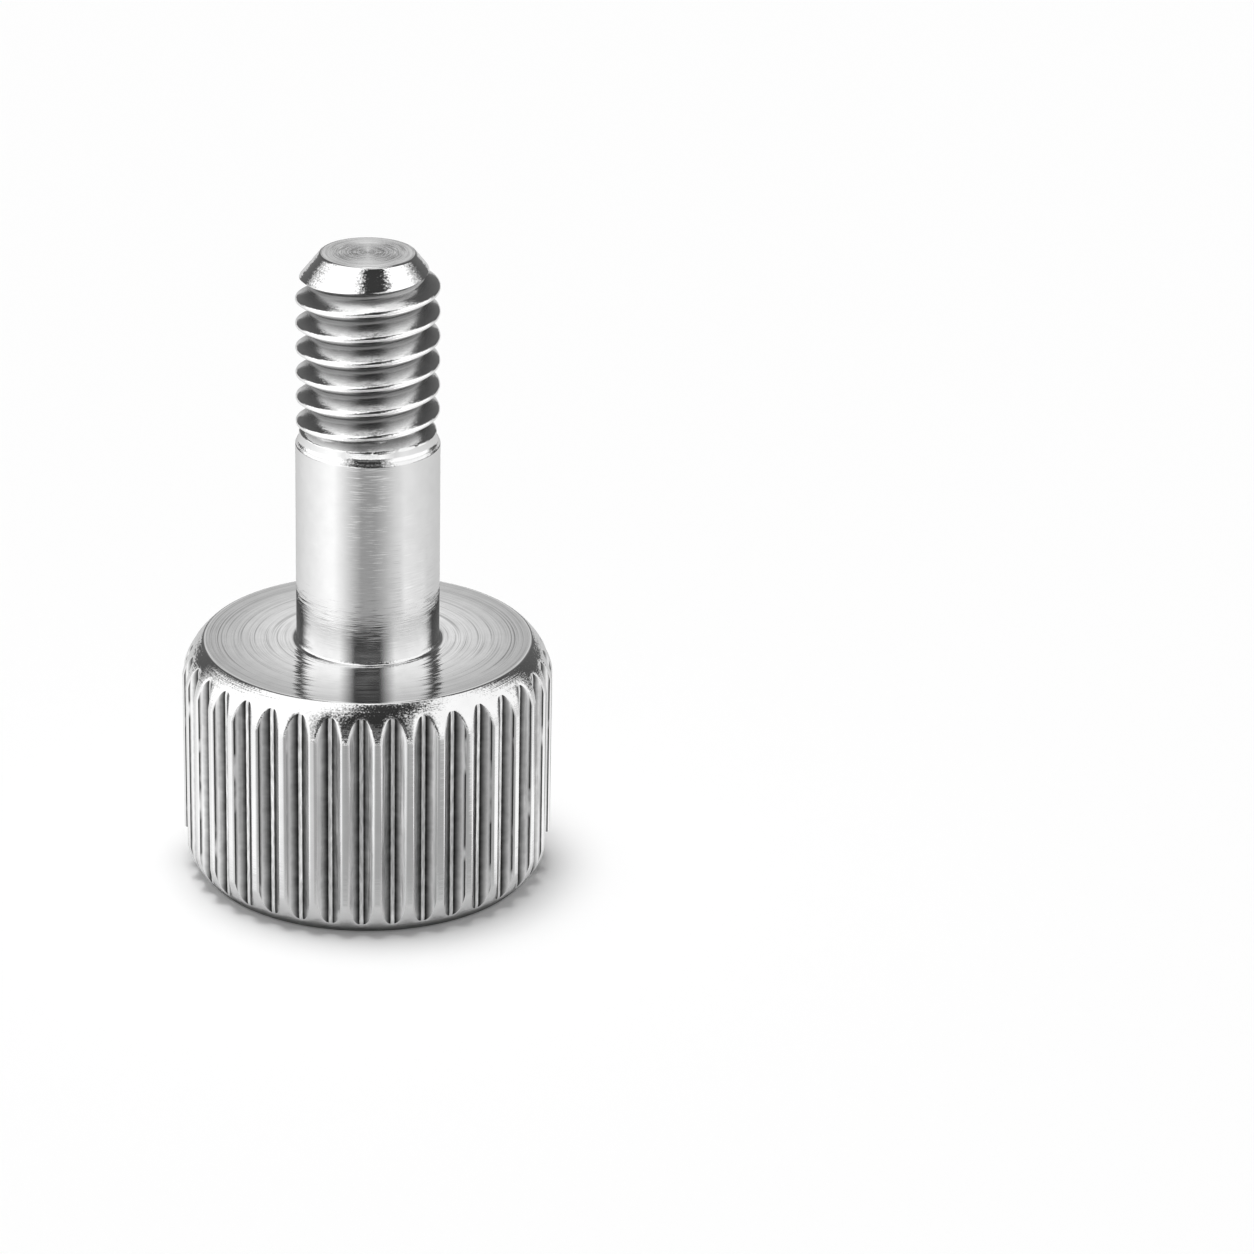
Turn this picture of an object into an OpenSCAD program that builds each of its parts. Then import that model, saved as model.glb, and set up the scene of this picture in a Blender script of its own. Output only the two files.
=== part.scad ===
// Knurled thumb screw with a slotted head, a plain shank and an M4 thread, turned from one bar.
// It stands on the slotted face of its head: z = 0 is that face and the axis is Z.
// All sizes are in millimetres.

/* [Head] */
// Diameter over the crests of the knurl
head_d = 10.25; // [9.5:0.05:12]
// Height of the head from its slotted face to the face under it
head_h = 6.8; // [5:0.1:10]
// Radial width of the bevel at each end of the knurl
bevel_w = 0.575; // [0.4:0.025:0.8]
// Axial height of the bevel at each end of the knurl
bevel_h = 1; // [0.7:0.05:1.4]
// How far the middle of a bevel stands out from the straight line between its corners
bevel_bulge = 0.1; // [0.03:0.01:0.12]

/* [Knurl] */
// Spacing of the grooves round the head
knurl_pitch = 0.9; // [0.85:0.05:1.4]
// Depth of a groove below the crests
knurl_depth = 0.27; // [0.15:0.01:0.3]
// Width of the flat at the bottom of a groove
knurl_root_w = 0.16; // [0.06:0.01:0.2]
// Angle between the two flanks of a groove
knurl_angle = 90; // [60:5:90]

/* [Slot] */
// Width of the screwdriver slot
slot_w = 1.5; // [0.8:0.05:2]
// Depth of the screwdriver slot
slot_h = 1.2; // [0.8:0.05:2.5]

/* [Shank] */
// Diameter of the plain shank
shank_d = 3.95; // [3.9:0.05:6]
// Length of the plain shank from the face under the head to its shoulder
shank_l = 5.85; // [3:0.05:15]
// Radius of the fillet where the shank meets the head
shank_fillet = 0.1; // [0.05:0.01:0.4]

/* [Thread] */
// Nominal diameter of the thread
thread_d = 4; // [3.5:0.25:4.5]
// Pitch of the thread
thread_pitch = 0.7; // [0.5:0.05:0.8]
// How much smaller than the nominal diameter the thread is over its crests
thread_play = 0.09; // [0.02:0.01:0.14]
// Length of the threaded end from the shoulder of the shank to the tip
thread_l = 5.35; // [4:0.05:12]
// Direction from the axis, in degrees, at which the thread reaches its full height
thread_turn = 90; // [0:5:355]

/* [Run-out] */
// Radial step from the crests of the thread down to the neck beside the shoulder
neck_step = 0.065; // [0.03:0.005:0.12]
// Radial taper of the neck over its length
neck_taper = 0.025; // [0.01:0.005:0.06]
// Length of the neck beside the shoulder
neck_l = 0.3; // [0.2:0.05:0.5]
// Length of the cone from the neck down to the root of the thread
washout_l = 0.3; // [0.2:0.05:0.6]
// Distance from the shoulder to the first crest of full height
first_crest = 0.375; // [0.3:0.025:0.6]
// Share of a turn over which the first crest rises out of the neck
fade_turns = 0.25; // [0.15:0.05:0.5]

/* [Tip] */
// Diameter of the flat end of the tip
tip_d = 2.58; // [2:0.02:3]
// Axial length of the chamfer at the tip
tip_chamfer = 0.83; // [0.4:0.01:1.2]

/* [Hidden] */

// Faces of a full circle, and steps of the thread in one turn
$fn = 144;
turn_steps = 48;
// How far a cutter reaches past what it cuts
past = 0.5;
// How far the foot of the thread's ridge lies inside the core
foot_depth = 0.05;
// How far the ridge's crest lies inside the neck where the ridge starts
start_depth = 0.08;

head_r = head_d / 2;
face_r = head_r - bevel_w;
shank_r = shank_d / 2;
tip_r = tip_d / 2;
shoulder_z = head_h + shank_l;
tip_z = shoulder_z + thread_l;

// The bevel's arc passes through both of its corners
bevel_chord = sqrt(bevel_w * bevel_w + bevel_h * bevel_h);
bevel_r = (bevel_chord * bevel_chord / 4 + bevel_bulge * bevel_bulge) / (2 * bevel_bulge);
bevel_back = bevel_r - bevel_bulge;
bevel_centre_r = (face_r + head_r) / 2 - bevel_back * bevel_h / bevel_chord;
bevel_centre_in = bevel_h / 2 + bevel_back * bevel_w / bevel_chord;

// A whole number of grooves, one of them in line with each end of the slot
knurl_count = 2 * round(PI * head_d / knurl_pitch / 2);
groove_spread = tan(knurl_angle / 2);

// Metric thread form: 60 degree flanks, and 17/24 of the sharp profile's height between
// the flat crests, an eighth of the pitch wide, and the roots
flank_spread = tan(30);
sharp_depth = thread_pitch / 2 / flank_spread;
crest_r = (thread_d - thread_play) / 2;
crest_w = thread_pitch / 8;
root_r = crest_r - sharp_depth * 17 / 24;

// The neck lies a little under the crests, and the ridge of the thread starts inside it
neck_r = crest_r - neck_step;
neck_end_r = neck_r - neck_taper;
start_r = neck_end_r - start_depth;
ridge_foot_r = root_r - foot_depth;

// Angles are counted from where the first crest has its full height
ridge_from = -round(fade_turns * turn_steps);
ridge_to = ceil((thread_l - first_crest + thread_pitch / 2) / thread_pitch * turn_steps);

// What lies outside a bevel's arc in the corner of the head's section, for the upper end
module bevel_waste() {
    difference() {
        translate([face_r, head_h - bevel_h]) square([bevel_w + past, bevel_h + past]);
        translate([bevel_centre_r, head_h - bevel_centre_in]) circle(r = bevel_r);
    }
}

// Half section of the head before it is knurled
module head_section() {
    difference() {
        square([head_r, head_h]);
        bevel_waste();
        translate([0, head_h]) mirror([0, 1]) bevel_waste();
    }
}

// Half section of the shank, its shoulder, the neck and the core of the thread
module shank_section() {
    polygon([
        [0, head_h / 2],
        [shank_r, head_h / 2],
        [shank_r, shoulder_z - max(shank_r - neck_r, 0)],
        [neck_r, shoulder_z],
        [neck_end_r, shoulder_z + neck_l],
        [root_r, shoulder_z + neck_l + washout_l],
        [root_r, tip_z + past],
        [0, tip_z + past],
    ]);
}

// Half section of the fillet between the shank and the face under the head
module fillet_section() {
    difference() {
        translate([shank_r - past, head_h - past]) square(past + shank_fillet);
        translate([shank_r + shank_fillet, head_h + shank_fillet]) circle(r = shank_fillet);
    }
}

// One groove of the knurl, along the whole height of the head, in the direction of X
module groove() {
    root = head_r - knurl_depth;
    half_root = knurl_root_w / 2;
    half_mouth = half_root + (knurl_depth + past) * groove_spread;
    translate([0, 0, -past]) linear_extrude(height = head_h + 2 * past) polygon([
        [root, -half_root],
        [head_r + past, -half_mouth],
        [head_r + past, half_mouth],
        [root, half_root],
    ]);
}

// All the grooves of the straight knurl
module knurl() {
    for (i = [0 : knurl_count - 1]) rotate(i * 360 / knurl_count) groove();
}

// The screwdriver slot, along X across the whole head
module slot() {
    translate([-head_r - past, -slot_w / 2, -past]) cube([head_d + 2 * past, slot_w, slot_h + past]);
}

// Radius of the ridge's crest at a step: it rises out of the neck over the first steps
function ridge_crest_r(step) =
    step >= 0 ? crest_r : crest_r - (crest_r - start_r) * step / ridge_from;

// Half width of the ridge at a radius, where its flat crest lies at another radius
function ridge_half_w(at_r, top_r) = crest_w / 2 + (top_r - at_r) * flank_spread;

// The four corners of the ridge's section at a step, from its lower foot round to its upper foot
function ridge_corners(step) = let (
    top_r = ridge_crest_r(step),
    foot_w = ridge_half_w(ridge_foot_r, top_r),
    height = shoulder_z + first_crest + thread_pitch * step / turn_steps,
    turn = thread_turn + 360 * step / turn_steps,
    section = [
        [ridge_foot_r, -foot_w], [top_r, -crest_w / 2], [top_r, crest_w / 2], [ridge_foot_r, foot_w],
    ]
) [for (corner = section) [corner[0] * cos(turn), corner[0] * sin(turn), height + corner[1]]];

// The right-hand ridge of the thread: sections joined from step to step, with a cap at each end
module thread_ridge() {
    steps = ridge_to - ridge_from;
    points = [for (step = [ridge_from : ridge_to]) each ridge_corners(step)];
    sides = [
        for (i = [0 : steps - 1], k = [0 : 3]) let (a = 4 * i + k, b = 4 * i + (k + 1) % 4)
            each [[a, b, a + 4], [b, b + 4, a + 4]]
    ];
    caps = [[3, 2, 1, 0], [4 * steps, 4 * steps + 1, 4 * steps + 2, 4 * steps + 3]];
    polyhedron(points = points, faces = concat(sides, caps), convexity = 12);
}

// Everything inside the flat and the chamfer of the tip
module tip_envelope() {
    wide_r = max(crest_r, shank_r) + past;
    slope = tip_chamfer / (crest_r - tip_r);
    rotate_extrude() polygon([
        [0, -past],
        [wide_r, -past],
        [wide_r, tip_z - (wide_r - tip_r) * slope],
        [tip_r, tip_z],
        [0, tip_z],
    ]);
}

// The knurled and slotted head, with the fillet on its upper face
module head() {
    difference() {
        rotate_extrude() union() {
            head_section();
            fillet_section();
        }
        knurl();
        slot();
    }
}

// The plain shank and the threaded end with its chamfered tip
module shank() {
    intersection() {
        union() {
            rotate_extrude() shank_section();
            thread_ridge();
        }
        tip_envelope();
    }
}

// The whole screw, one solid
module thumb_screw() {
    color("silver") union() {
        head();
        shank();
    }
}

thumb_screw();
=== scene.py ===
import logging
import math
from dataclasses import dataclass, field
from enum import IntEnum
from typing import Sequence

import bmesh
import bpy
from mathutils import Matrix, Vector


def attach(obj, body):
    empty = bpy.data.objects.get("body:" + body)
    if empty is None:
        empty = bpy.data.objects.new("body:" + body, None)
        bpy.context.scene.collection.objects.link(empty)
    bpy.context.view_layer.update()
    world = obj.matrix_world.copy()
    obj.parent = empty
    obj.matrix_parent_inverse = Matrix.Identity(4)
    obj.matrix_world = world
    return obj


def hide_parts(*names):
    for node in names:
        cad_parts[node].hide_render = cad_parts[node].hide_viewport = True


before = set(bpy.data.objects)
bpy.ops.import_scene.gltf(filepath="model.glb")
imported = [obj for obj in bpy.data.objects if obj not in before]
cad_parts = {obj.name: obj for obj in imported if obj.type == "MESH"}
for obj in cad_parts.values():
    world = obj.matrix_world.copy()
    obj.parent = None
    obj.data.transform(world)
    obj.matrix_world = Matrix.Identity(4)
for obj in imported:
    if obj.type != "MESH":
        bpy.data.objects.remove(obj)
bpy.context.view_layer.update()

log = logging.getLogger("thumb_screw")

MM = 0.001
NODE = "thumb_screw"

# Widest angle in degrees between two faces that are still shaded as one surface
SMOOTH_ANGLE = 38.0
# Points closer than this, in millimetres, are one point
WELD = 1e-4
# Square of the least radius, in square millimetres, that a direction is divided by
LEAST_SQUARE = 1e-6
# Degrees in a radian
DEGREES = 180 / math.pi
# Turn of the camera round the screw, in degrees
CAMERA_TURN = 2.084
# Metric thread form: angle of a flank to the level, depth as a share of the sharp profile's
# height, and half the flat on the crest as a share of the pitch
FLANK_ANGLE = math.pi / 6
DEPTH_SHARE = 17 / 24
FLAT_SHARE = 1 / 16


class Surface(IntEnum):
    """The finishes of the screw, in the order of its material slots."""

    TURNED = 0
    KNURLED = 1
    THREADED = 2
    MILLED = 3
    FACED = 4


def smooth_min(a: float, b: float, soft: float) -> float:
    """Return the lesser of two lengths, rounded off where they nearly meet.

    Args:
        a: One length.
        b: The other length.
        soft: Difference between the two below which the corner is rounded.

    Returns:
        The lesser length, lowered a little near the corner.
    """
    overlap = max(soft - abs(a - b), 0.0) / soft
    return min(a, b) - overlap * overlap * soft / 4


def smooth_max(a: float, b: float, soft: float) -> float:
    """Return the greater of two lengths, rounded off where they nearly meet."""
    return -smooth_min(-a, -b, soft)


def spread(start: float, stop: float, count: int) -> list[float]:
    """Return even steps from start towards stop, without stop itself."""
    return [start + (stop - start) * i / count for i in range(count)]


def rim(bm: bmesh.types.BMesh, height: float) -> list[bmesh.types.BMEdge]:
    """Return the open edges that lie level at a height.

    Args:
        bm: The mesh with the open rim.
        height: Height of the rim in the mesh's units.

    Returns:
        The edges of that rim.
    """
    return [
        edge for edge in bm.edges
        if edge.is_boundary and all(abs(v.co.z - height) < WELD for v in edge.verts)
    ]


def step_ring(
    bm: bmesh.types.BMesh, ring: Sequence[bmesh.types.BMEdge], radius: float, height: float
) -> list[bmesh.types.BMEdge]:
    """Extrude a round rim to a new radius and height.

    Args:
        bm: The mesh that holds the rim.
        ring: The edges of the rim.
        radius: Radius of the new ring.
        height: Height of the new ring.

    Returns:
        The edges of the new ring.
    """
    made = bmesh.ops.extrude_edge_only(bm, edges=list(ring))["geom"]
    verts = [item for item in made if isinstance(item, bmesh.types.BMVert)]
    share = radius / (sum(v.co.xy.length for v in verts) / len(verts))
    rise = height - verts[0].co.z
    bmesh.ops.scale(bm, vec=(share, share, 1), verts=verts)
    bmesh.ops.translate(bm, vec=(0, 0, rise), verts=verts)
    return [item for item in made if isinstance(item, bmesh.types.BMEdge)]


def paint(faces: Sequence[bmesh.types.BMFace], surface: Surface) -> None:
    """Give faces the material slot of a finish."""
    for face in faces:
        face.material_index = surface


def object_of(bm: bmesh.types.BMesh, name: str) -> bpy.types.Object:
    """Turn a bmesh into an object of the scene, and free the bmesh.

    Args:
        bm: The mesh in the making.
        name: Name of the object and of its mesh.

    Returns:
        The new object, at the origin.
    """
    mesh = bpy.data.meshes.new(name)
    bm.to_mesh(mesh)
    bm.free()
    made = bpy.data.objects.new(name, mesh)
    bpy.context.scene.collection.objects.link(made)
    return made


def join(target: bmesh.types.BMesh, part: bmesh.types.BMesh) -> None:
    """Add a part's faces to another mesh, and free the part.

    Args:
        target: The mesh that takes the faces.
        part: The mesh that gives them.
    """
    mesh = bpy.data.meshes.new("part")
    part.to_mesh(mesh)
    part.free()
    target.from_mesh(mesh)
    bpy.data.meshes.remove(mesh)


@dataclass(frozen=True)
class KnurledHead:
    """The head: a short cylinder with convex bevels and a straight knurl. Sizes in millimetres."""

    radius: float = 5.125
    height: float = 6.8
    bevel_width: float = 0.575
    bevel_height: float = 1.0
    bevel_bulge: float = 0.1
    grooves: int = 36
    groove_depth: float = 0.27
    groove_half: float = 0.35
    lip_soft: float = 0.09
    face_round: float = 0.08
    edge_band: float = 0.04
    groove_end_band: float = 0.05
    lip_margin: float = 0.04
    round_steps: int = 4
    bevel_rows: tuple[int, int, int] = (3, 7, 9)
    floor_shares: tuple[float, ...] = (0.0, 0.15, 0.3, 0.45, 0.6, 0.72, 0.84, 0.92, 1.0)
    land_shares: tuple[float, ...] = (0.3, 0.65, 1.0)
    turned_columns: int = 6

    @property
    def face_radius(self) -> float:
        """Radius of the flat at each end of the head."""
        return self.radius - self.bevel_width

    @property
    def floor_radius(self) -> float:
        """Distance of the grooves' floors from the axis."""
        return self.radius - self.groove_depth

    @property
    def groove_curve(self) -> float:
        """Rise of a groove's rounded floor for each square millimetre across it."""
        return self.groove_depth / self.groove_half**2

    @property
    def bevel_arc(self) -> tuple[float, float, float]:
        """Arc of the bevel's section.

        Returns:
            Radius of the arc, and its centre's radius and distance from the face.
        """
        chord = math.hypot(self.bevel_width, self.bevel_height)
        arc = (chord * chord / 4 + self.bevel_bulge**2) / (2 * self.bevel_bulge)
        back = arc - self.bevel_bulge
        centre_radius = (self.face_radius + self.radius) / 2 - back * self.bevel_height / chord
        centre_in = self.bevel_height / 2 + back * self.bevel_width / chord
        return arc, centre_radius, centre_in

    @property
    def groove_end(self) -> float:
        """Distance from a face at which the floors of the grooves run out over the bevel."""
        arc, centre_radius, centre_in = self.bevel_arc
        return centre_in - math.sqrt(arc * arc - (self.floor_radius - centre_radius) ** 2)

    @property
    def face_lean(self) -> float:
        """Angle of the bevel's outward normal above the level, where it meets the face."""
        _, centre_radius, centre_in = self.bevel_arc
        return math.atan2(centre_in, self.face_radius - centre_radius)

    def face_rings(self) -> list[tuple[float, float]]:
        """Return the rings that round the bevel over into the flat of the face.

        Returns:
            Radius and distance from the face of each ring, from the bevel inwards.
        """
        start = self.face_lean
        middle = self.face_radius - self.face_round * math.tan(math.pi / 4 - start / 2)
        turn = math.pi / 2 - start
        leans = [start + turn * i / self.round_steps for i in range(self.round_steps + 1)]
        rings = [
            (middle + self.face_round * math.cos(lean), self.face_round * (1 - math.sin(lean)))
            for lean in leans
        ]
        return rings + [(middle - self.edge_band, 0.0)]

    def turned_radius(self, inset: float) -> float:
        """Return the radius before knurling.

        Args:
            inset: Distance from the nearer face.

        Returns:
            The radius of the cylinder or of the bevel.
        """
        if inset >= self.bevel_height:
            return self.radius
        arc, centre_radius, centre_in = self.bevel_arc
        return centre_radius + math.sqrt(arc * arc - (centre_in - inset) ** 2)

    def insets(self) -> list[float]:
        """Return where the rows of one bevel lie, closest where the grooves run out.

        Returns:
            Distances from the face.
        """
        start = self.groove_end - self.groove_end_band
        stop = self.groove_end + self.groove_end_band
        corner = self.bevel_height - self.edge_band
        before, around, after = self.bevel_rows
        return (
            [self.face_rings()[0][1]]
            + spread(self.edge_band, start, before)
            + spread(start, stop, around)
            + spread(stop, corner, after)
            + [corner, self.bevel_height, self.bevel_height + self.edge_band]
        )

    def offsets(self, turned: float) -> list[float]:
        """Return how far the columns of half a groove and land lie from the groove's middle.

        Args:
            turned: Radius before knurling at the row's height.

        Returns:
            Distances across the groove: its rounded floor, its lip and half the land beside it.
        """
        above = max(turned - self.floor_radius, 0.0)
        lip = math.sqrt(above / (self.groove_curve + 0.5 / turned)) + self.lip_margin
        land_end = turned * math.sin(math.pi / self.grooves)
        floor = [lip * share for share in self.floor_shares]
        return floor + [lip + (land_end - lip) * share for share in self.land_shares]

    def knurled_depth(self, offset: float, turned: float) -> float:
        """Return how far out the knurled surface lies.

        Args:
            offset: Distance across the groove from its middle.
            turned: Radius before knurling.

        Returns:
            Distance outwards along the middle of the groove, with the lip rounded.
        """
        outside = math.sqrt(turned * turned - offset * offset)
        inside = self.floor_radius + self.groove_curve * offset * offset
        return smooth_min(outside, inside, self.lip_soft)

    def shell(self) -> bmesh.types.BMesh:
        """Build the knurled side and both bevels, open at the two faces.

        Returns:
            The shell of the head.
        """
        insets = self.insets()
        rows = insets + [self.height - inset for inset in reversed(insets)]
        columns = len(self.offsets(self.radius))
        lip_column = columns - self.turned_columns
        bm = bmesh.new()
        bmesh.ops.create_grid(bm, x_segments=columns - 1, y_segments=len(rows) - 1, size=1)

        def cell(co: Vector) -> tuple[float, float]:
            """Return the column and the row of a point of the grid."""
            return (co.x + 1) / 2 * (columns - 1), (co.y + 1) / 2 * (len(rows) - 1)

        for face in bm.faces:
            column, row = cell(face.calc_center_median())
            height = (rows[math.floor(row)] + rows[math.ceil(row)]) / 2
            knurled = column < lip_column and min(height, self.height - height) > self.groove_end
            face.material_index = Surface.KNURLED if knurled else Surface.TURNED
        for vert in bm.verts:
            column, row = (round(part) for part in cell(vert.co))
            turned = self.turned_radius(min(rows[row], self.height - rows[row]))
            offset = self.offsets(turned)[column]
            vert.co = (self.knurled_depth(offset, turned), offset, rows[row])

        bmesh.ops.mirror(bm, geom=[*bm.verts, *bm.edges, *bm.faces], merge_dist=WELD, axis="Y")
        bmesh.ops.spin(
            bm, geom=[*bm.verts, *bm.edges, *bm.faces], axis=(0, 0, 1), cent=(0, 0, 0),
            angle=2 * math.pi * (1 - 1 / self.grooves), steps=self.grooves - 1, use_duplicate=True,
        )
        bmesh.ops.remove_doubles(bm, verts=bm.verts, dist=WELD)
        return bm


@dataclass(frozen=True)
class PlainShank:
    """The smooth shank, its fillet at the head and its chamfered shoulder. Sizes in millimetres."""

    radius: float = 1.975
    length: float = 5.85
    fillet: float = 0.1
    neck_radius: float = 1.89
    edge_band: float = 0.03
    neck_flare: float = 0.045
    columns: int = 180
    fillet_steps: int = 6

    def foot_radius(self) -> float:
        """Return the radius of the shank's foot ring on the face under the head."""
        return self.radius + self.fillet + self.edge_band

    def profile(self, base: float) -> list[tuple[float, float]]:
        """Return the half section from the face under the head to the neck.

        Args:
            base: Height of the face under the head.

        Returns:
            Radius and height of each point.
        """
        top = base + self.length
        drop = self.radius - self.neck_radius
        band = self.edge_band
        leans = [math.pi / 2 * i / self.fillet_steps for i in range(self.fillet_steps + 1)]
        curve = [(1 - math.sin(lean), 1 - math.cos(lean)) for lean in leans]
        return (
            [(self.foot_radius(), base)]
            + [(self.radius + self.fillet * out, base + self.fillet * up) for out, up in curve]
            + [(self.radius, base + self.fillet + band), (self.radius, top - drop - band)]
            + [(self.radius, top - drop), (self.radius - band / 2, top - drop + band / 2)]
            + [(self.neck_radius + self.neck_flare + band / 3, top - 2 * band / 3)]
            + [(self.neck_radius + self.neck_flare, top)]
        )

    def shell(self, base: float) -> bmesh.types.BMesh:
        """Spin the half section into the shank, open at both ends.

        Args:
            base: Height of the face under the head.

        Returns:
            The shell of the shank.
        """
        bm = bmesh.new()
        verts = [bm.verts.new((radius, 0, height)) for radius, height in self.profile(base)]
        edges = [bm.edges.new(pair) for pair in zip(verts, verts[1:])]
        bmesh.ops.spin(
            bm, geom=[*verts, *edges], axis=(0, 0, 1), cent=(0, 0, 0),
            angle=2 * math.pi, steps=self.columns, use_merge=True,
        )
        paint(bm.faces, Surface.TURNED)
        return bm


@dataclass(frozen=True)
class ThreadedEnd:
    """The neck, the metric thread and the chamfered tip. Sizes in millimetres."""

    base: float = 12.65
    length: float = 5.35
    crest_radius: float = 1.955
    pitch: float = 0.7
    neck_radius: float = 1.89
    neck_taper: float = 0.025
    neck_length: float = 0.3
    neck_flare: float = 0.04
    flare_length: float = 0.14
    washout: float = 0.3
    first_crest: float = 0.375
    start_turn: float = 90.0
    fade_turns: float = 0.25
    start_depth: float = 0.08
    tip_radius: float = 1.29
    chamfer: float = 0.83
    crest_soft: float = 0.05
    root_soft: float = 0.05
    cone_soft: float = 0.02
    tip_band: float = 0.03
    tip_rings: tuple[tuple[float, float], ...] = ((0.1, 0.25), (0.8, 0.0), (2.5, 0.0))
    corner_share: float = 0.6
    foot_band: float = 0.03
    flank_rows: int = 4
    columns: int = 180
    spare_columns: int = 12

    @property
    def top(self) -> float:
        """Height of the flat end of the tip."""
        return self.base + self.length

    @property
    def flat(self) -> float:
        """Half the width of the flat on the thread's crest."""
        return self.pitch * FLAT_SHARE

    @property
    def root_radius(self) -> float:
        """Radius at the root of the thread."""
        return self.crest_radius - self.pitch * math.cos(FLANK_ANGLE) * DEPTH_SHARE

    def core_radius(self, height: float) -> float:
        """Return the radius under the ridge of the thread.

        Args:
            height: Height of the point.

        Returns:
            The radius of the neck, of the washout or of the thread's core.
        """
        rise = max(height - self.base, 0.0)
        neck_end = self.neck_radius - self.neck_taper
        if rise < self.neck_length:
            flare = self.neck_flare * max(1 - rise / self.flare_length, 0.0) ** 2
            return self.neck_radius - self.neck_taper * rise / self.neck_length + flare
        share = min((rise - self.neck_length) / self.washout, 1.0)
        return neck_end + (self.root_radius - neck_end) * share

    def crest_at(self, turns: float) -> float:
        """Return the crest's radius, which rises out of the neck before the first full crest.

        Args:
            turns: Turns along the thread from its first full crest.

        Returns:
            The radius of the flat on the crest.
        """
        start = self.neck_radius - self.neck_taper - self.start_depth
        share = min(max(1 + turns / self.fade_turns, 0.0), 1.0)
        return start + (self.crest_radius - start) * share

    def radius_at(self, turns: float, across: float, height: float) -> float:
        """Return the surface's radius at a point of the thread.

        Args:
            turns: Turns along the thread from its first full crest.
            across: Distance along the axis from the middle of the crest.
            height: Height of the point.

        Returns:
            The radius, with the crest's corners, the root and the chamfer's edge rounded.
        """
        crest = self.crest_at(turns)
        flank = crest - (abs(across) - self.flat) / math.tan(FLANK_ANGLE)
        ridge = smooth_min(crest, flank, self.crest_soft)
        radius = smooth_max(self.core_radius(height), ridge, self.root_soft)
        spread_out = (self.crest_radius - self.tip_radius) / self.chamfer
        cone = self.tip_radius + (self.top - height) * spread_out
        return smooth_min(radius, cone, self.cone_soft)

    def rows(self) -> list[float]:
        """Return where the rows of the mesh lie across one pitch, from root to root.

        Returns:
            Distances along the axis from the middle of the crest.
        """
        corner = self.crest_soft * self.corner_share
        depth = self.crest_radius - self.root_radius
        foot = self.flat + depth * math.tan(FLANK_ANGLE) - self.foot_band
        half = (
            [0.0, self.flat - corner, self.flat, self.flat + corner]
            + spread(self.flat + 2 * corner, foot, self.flank_rows)
            + spread(foot, self.pitch / 2, self.flank_rows)
            + [self.pitch / 2]
        )
        return [-across for across in reversed(half[1:])] + half

    def shell(self) -> bmesh.types.BMesh:
        """Wind a strip one pitch wide up the thread, and trim it level at both ends.

        Returns:
            The shell of the thread, open at the neck and closed at the tip.
        """
        rows = self.rows()
        low = self.base + self.tip_band
        high = self.top - self.tip_band
        start = self.base + self.first_crest
        spare = self.columns // 2 + self.spare_columns
        first = math.floor((low - start) / self.pitch * self.columns) - spare
        last = math.ceil((high - start) / self.pitch * self.columns) + spare
        steps = last - first
        bm = bmesh.new()
        bmesh.ops.create_grid(bm, x_segments=steps, y_segments=len(rows) - 1, size=1)
        for vert in bm.verts:
            turns = (first + round((vert.co.x + 1) / 2 * steps)) / self.columns
            across = rows[round((vert.co.y + 1) / 2 * (len(rows) - 1))]
            height = start + turns * self.pitch + across
            radius = self.radius_at(turns, across, height)
            angle = math.radians(self.start_turn) + 2 * math.pi * turns
            vert.co = (radius * math.cos(angle), radius * math.sin(angle), height)
        bmesh.ops.remove_doubles(bm, verts=bm.verts, dist=WELD)
        for level, side in ((low, {"clear_inner": True}), (high, {"clear_outer": True})):
            bmesh.ops.bisect_plane(
                bm, geom=[*bm.verts, *bm.edges, *bm.faces], dist=WELD,
                plane_co=(0, 0, level), plane_no=(0, 0, 1), **side,
            )
        paint(bm.faces, Surface.THREADED)
        self.close_tip(bm, high)
        return bm

    def close_tip(self, bm: bmesh.types.BMesh, high: float) -> None:
        """Round the edge of the tip and close its flat end.

        Args:
            bm: The shell of the thread, trimmed level.
            high: Height of the trimmed end.
        """
        ring = rim(bm, high)
        before = set(bm.faces)
        for inwards, down in self.tip_rings:
            radius = self.tip_radius - inwards * self.tip_band
            ring = step_ring(bm, ring, radius, self.top - down * self.tip_band)
        bmesh.ops.contextual_create(bm, geom=ring)
        paint([face for face in bm.faces if face not in before], Surface.FACED)


@dataclass(frozen=True)
class DriverSlot:
    """The screwdriver slot across the end face of the head. Sizes in millimetres."""

    width: float = 1.5
    depth: float = 1.2
    mouth_chamfer: float = 0.04
    reach: float = 6.0
    past: float = 0.5

    def meets(self, face: bmesh.types.BMFace) -> bool:
        """Return whether a twisted face lies where the slot's walls pass."""
        middle = face.calc_center_median()
        return len(face.verts) == 4 and middle.z < 2 * self.depth and abs(middle.y) < self.width

    def cutter(self) -> bmesh.types.BMesh:
        """Build the body of the slot, with its mouth widened by a small chamfer.

        Returns:
            A closed prism along X.
        """
        half = self.width / 2
        wide = half + self.mouth_chamfer + self.past
        outline = [
            (-half, self.depth), (half, self.depth), (half, self.mouth_chamfer),
            (wide, -self.past), (-wide, -self.past), (-half, self.mouth_chamfer),
        ]
        bm = bmesh.new()
        face = bm.faces.new([bm.verts.new((-self.reach, y, z)) for y, z in outline])
        made = bmesh.ops.extrude_face_region(bm, geom=[face])["geom"]
        moved = [item for item in made if isinstance(item, bmesh.types.BMVert)]
        bmesh.ops.translate(bm, vec=(2 * self.reach, 0, 0), verts=moved)
        bmesh.ops.recalc_face_normals(bm, faces=bm.faces)
        paint(bm.faces, Surface.MILLED)
        return bm


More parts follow.
